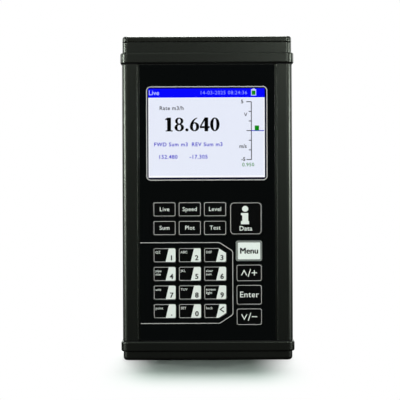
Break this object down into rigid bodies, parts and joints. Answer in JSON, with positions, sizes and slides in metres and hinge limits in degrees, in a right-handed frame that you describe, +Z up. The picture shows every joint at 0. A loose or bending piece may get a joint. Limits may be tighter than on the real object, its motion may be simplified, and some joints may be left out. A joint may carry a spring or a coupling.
{
  "type": "handheld ultrasonic flow meter",
  "caption": "Handheld flow meter in an extruded case with end caps, a colour display, travelling keys and a hinged cover over the sockets on its top end.",
  "frame": {"origin": "centre of the base that the meter stands on", "axes": "+Z up along the case from the base to the lid, +X to the right seen from the keys, +Y towards the back"},
  "size_m": [0.104, 0.04, 0.194],
  "materials": {
    "case_anodised": "fine satin black coat",
    "cap_black": "satin moulded black",
    "panel_film": "glossy printed black film",
    "pane_clear": "clear hard-coated pane",
    "deck_black": "moulded black",
    "key_black": "satin black cap",
    "key_white": "satin white cap",
    "seal_rubber": "black elastomer",
    "steel": "zinc plated",
    "nickel": "satin nickel plate",
    "board_green": "solder mask",
    "component_black": "moulded epoxy",
    "display_glass": "glass and steel display module",
    "ribbon_amber": "polyimide film",
    "ribbon_grey": "ribbon cable",
    "lead_black": "coax jacket",
    "cell_blue": "shrink sleeve over steel cans",
    "cradle_grey": "moulded tray"
  },
  "bodies": {
    "meter": {"case_extrusion": "case_anodised", "front_panel": "panel_film", "display_window": "pane_clear", "key_deck": "deck_black", "top_cap": "cap_black", "lid_hinge_pin": "steel", "lid_seal": "seal_rubber", "top_gasket": "seal_rubber", "top_cap_screws": "nickel", "socket_plate": "nickel", "plate_screws": "steel", "upstream_socket": "nickel", "downstream_socket": "nickel", "signal_socket": "nickel", "charge_socket": "nickel", "socket_nuts": "nickel", "socket_leads": "lead_black", "bottom_cap": "cap_black", "bottom_gasket": "seal_rubber", "bottom_cap_screws": "nickel", "display_module": "display_glass", "display_bracket": "steel", "keypad_board": "board_green", "snap_domes": "steel", "wall_standoffs": "nickel", "standoff_screws": "steel", "main_board": "board_green", "board_components": "component_black", "beeper": "component_black", "display_ribbon": "ribbon_amber", "keypad_ribbon": "ribbon_grey", "battery_cells": "cell_blue", "battery_cradle": "cradle_grey"},
    "lid": {"socket_lid": "cap_black"},
    "key_1": {"key_1": "key_black"},
    "key_2": {"key_2": "key_black"},
    "key_3": {"key_3": "key_black"},
    "key_4": {"key_4": "key_black"},
    "key_5": {"key_5": "key_black"},
    "key_6": {"key_6": "key_black"},
    "key_7": {"key_7": "key_black"},
    "key_8": {"key_8": "key_black"},
    "key_9": {"key_9": "key_black"},
    "key_dot": {"key_dot": "key_black"},
    "key_0": {"key_0": "key_black"},
    "key_back": {"key_back": "key_black"},
    "key_live": {"key_live": "key_black"},
    "key_speed": {"key_speed": "key_black"},
    "key_level": {"key_level": "key_black"},
    "key_sum": {"key_sum": "key_black"},
    "key_plot": {"key_plot": "key_black"},
    "key_test": {"key_test": "key_black"},
    "key_down": {"key_down": "key_black"},
    "key_enter": {"key_enter": "key_black"},
    "key_up": {"key_up": "key_black"},
    "key_menu": {"key_menu": "key_white"},
    "key_data": {"key_data": "key_black"}
  },
  "joints": [
    {"name": "lid_hinge", "type": "hinge", "parent": "meter", "child": "lid", "pos_m": [0, 0.0165, 0.1918], "axis": [-1, 0, 0], "range_deg": [0, 115]},
    {"name": "key_1_travel", "type": "slide", "parent": "meter", "child": "key_1", "axis": [0, 1, 0], "range_m": [0, 0.0004], "stiffness_N_per_m": 2000, "springref_m": -0.0003, "deforming": ["snap_domes"]},
    {"name": "key_2_travel", "type": "slide", "parent": "meter", "child": "key_2", "axis": [0, 1, 0], "range_m": [0, 0.0004], "stiffness_N_per_m": 2000, "springref_m": -0.0003, "deforming": ["snap_domes"]},
    {"name": "key_3_travel", "type": "slide", "parent": "meter", "child": "key_3", "axis": [0, 1, 0], "range_m": [0, 0.0004], "stiffness_N_per_m": 2000, "springref_m": -0.0003, "deforming": ["snap_domes"]},
    {"name": "key_4_travel", "type": "slide", "parent": "meter", "child": "key_4", "axis": [0, 1, 0], "range_m": [0, 0.0004], "stiffness_N_per_m": 2000, "springref_m": -0.0003, "deforming": ["snap_domes"]},
    {"name": "key_5_travel", "type": "slide", "parent": "meter", "child": "key_5", "axis": [0, 1, 0], "range_m": [0, 0.0004], "stiffness_N_per_m": 2000, "springref_m": -0.0003, "deforming": ["snap_domes"]},
    {"name": "key_6_travel", "type": "slide", "parent": "meter", "child": "key_6", "axis": [0, 1, 0], "range_m": [0, 0.0004], "stiffness_N_per_m": 2000, "springref_m": -0.0003, "deforming": ["snap_domes"]},
    {"name": "key_7_travel", "type": "slide", "parent": "meter", "child": "key_7", "axis": [0, 1, 0], "range_m": [0, 0.0004], "stiffness_N_per_m": 2000, "springref_m": -0.0003, "deforming": ["snap_domes"]},
    {"name": "key_8_travel", "type": "slide", "parent": "meter", "child": "key_8", "axis": [0, 1, 0], "range_m": [0, 0.0004], "stiffness_N_per_m": 2000, "springref_m": -0.0003, "deforming": ["snap_domes"]},
    {"name": "key_9_travel", "type": "slide", "parent": "meter", "child": "key_9", "axis": [0, 1, 0], "range_m": [0, 0.0004], "stiffness_N_per_m": 2000, "springref_m": -0.0003, "deforming": ["snap_domes"]},
    {"name": "key_dot_travel", "type": "slide", "parent": "meter", "child": "key_dot", "axis": [0, 1, 0], "range_m": [0, 0.0004], "stiffness_N_per_m": 2000, "springref_m": -0.0003, "deforming": ["snap_domes"]},
    {"name": "key_0_travel", "type": "slide", "parent": "meter", "child": "key_0", "axis": [0, 1, 0], "range_m": [0, 0.0004], "stiffness_N_per_m": 2000, "springref_m": -0.0003, "deforming": ["snap_domes"]},
    {"name": "key_back_travel", "type": "slide", "parent": "meter", "child": "key_back", "axis": [0, 1, 0], "range_m": [0, 0.0004], "stiffness_N_per_m": 2000, "springref_m": -0.0003, "deforming": ["snap_domes"]},
    {"name": "key_live_travel", "type": "slide", "parent": "meter", "child": "key_live", "axis": [0, 1, 0], "range_m": [0, 0.0004], "stiffness_N_per_m": 2000, "springref_m": -0.0003, "deforming": ["snap_domes"]},
    {"name": "key_speed_travel", "type": "slide", "parent": "meter", "child": "key_speed", "axis": [0, 1, 0], "range_m": [0, 0.0004], "stiffness_N_per_m": 2000, "springref_m": -0.0003, "deforming": ["snap_domes"]},
    {"name": "key_level_travel", "type": "slide", "parent": "meter", "child": "key_level", "axis": [0, 1, 0], "range_m": [0, 0.0004], "stiffness_N_per_m": 2000, "springref_m": -0.0003, "deforming": ["snap_domes"]},
    {"name": "key_sum_travel", "type": "slide", "parent": "meter", "child": "key_sum", "axis": [0, 1, 0], "range_m": [0, 0.0004], "stiffness_N_per_m": 2000, "springref_m": -0.0003, "deforming": ["snap_domes"]},
    {"name": "key_plot_travel", "type": "slide", "parent": "meter", "child": "key_plot", "axis": [0, 1, 0], "range_m": [0, 0.0004], "stiffness_N_per_m": 2000, "springref_m": -0.0003, "deforming": ["snap_domes"]},
    {"name": "key_test_travel", "type": "slide", "parent": "meter", "child": "key_test", "axis": [0, 1, 0], "range_m": [0, 0.0004], "stiffness_N_per_m": 2000, "springref_m": -0.0003, "deforming": ["snap_domes"]},
    {"name": "key_down_travel", "type": "slide", "parent": "meter", "child": "key_down", "axis": [0, 1, 0], "range_m": [0, 0.0004], "stiffness_N_per_m": 2000, "springref_m": -0.0003, "deforming": ["snap_domes"]},
    {"name": "key_enter_travel", "type": "slide", "parent": "meter", "child": "key_enter", "axis": [0, 1, 0], "range_m": [0, 0.0004], "stiffness_N_per_m": 2000, "springref_m": -0.0003, "deforming": ["snap_domes"]},
    {"name": "key_up_travel", "type": "slide", "parent": "meter", "child": "key_up", "axis": [0, 1, 0], "range_m": [0, 0.0004], "stiffness_N_per_m": 2000, "springref_m": -0.0003, "deforming": ["snap_domes"]},
    {"name": "key_menu_travel", "type": "slide", "parent": "meter", "child": "key_menu", "axis": [0, 1, 0], "range_m": [0, 0.0004], "stiffness_N_per_m": 2000, "springref_m": -0.0003, "deforming": ["snap_domes"]},
    {"name": "key_data_travel", "type": "slide", "parent": "meter", "child": "key_data", "axis": [0, 1, 0], "range_m": [0, 0.0004], "stiffness_N_per_m": 2000, "springref_m": -0.0003, "deforming": ["snap_domes"]}
  ]
}
